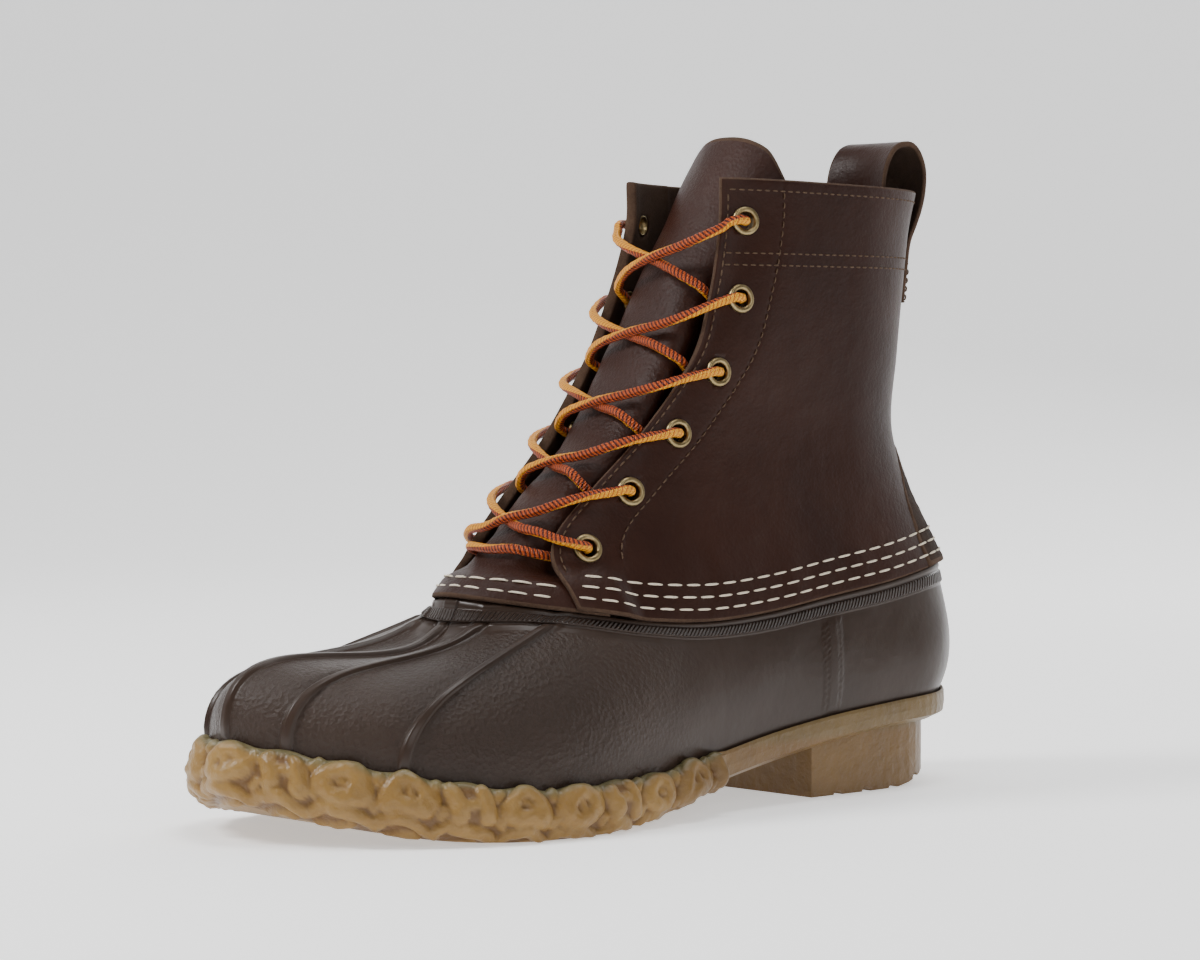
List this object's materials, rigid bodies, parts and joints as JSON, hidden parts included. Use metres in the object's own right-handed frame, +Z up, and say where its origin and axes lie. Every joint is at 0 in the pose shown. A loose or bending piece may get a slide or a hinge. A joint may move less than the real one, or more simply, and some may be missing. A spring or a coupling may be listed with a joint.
{
  "type": "duck boot",
  "caption": "Left duck boot: moulded rubber bottom with ribs, gum sole with chain-link wrap and heel block, laced leather shaft, tongue, heel counter and pull loop.",
  "frame": {"origin": "bottom centre of the bounding box, on the ground", "axes": "+X from heel to toe, +Y to the outer (lateral) side, +Z up"},
  "size_m": [0.3128, 0.121, 0.2325],
  "materials": {
    "gum": "satin",
    "rubber": "satin",
    "lining": "matte",
    "leather": "satin",
    "suede": "matte",
    "tongue_leather": "satin",
    "brass": "satin",
    "lace": "matte"
  },
  "bodies": {
    "root": {"gum_sole": "gum", "rubber_bottom": "rubber", "insole": "lining", "leather_shaft": "leather", "heel_counter": "suede", "tongue": "tongue_leather", "eyelet_lateral_1": "brass", "eyelet_lateral_2": "brass", "eyelet_lateral_3": "brass", "eyelet_lateral_4": "brass", "eyelet_lateral_5": "brass", "eyelet_lateral_6": "brass", "eyelet_medial_1": "brass", "eyelet_medial_2": "brass", "eyelet_medial_3": "brass", "eyelet_medial_4": "brass", "eyelet_medial_5": "brass", "eyelet_medial_6": "brass", "lace_bar": "lace", "lace_cross_1": "lace", "lace_cross_2": "lace", "lace_cross_3": "lace", "lace_cross_4": "lace", "lace_cross_5": "lace", "pull_loop": "leather"}
  },
  "joints": []
}
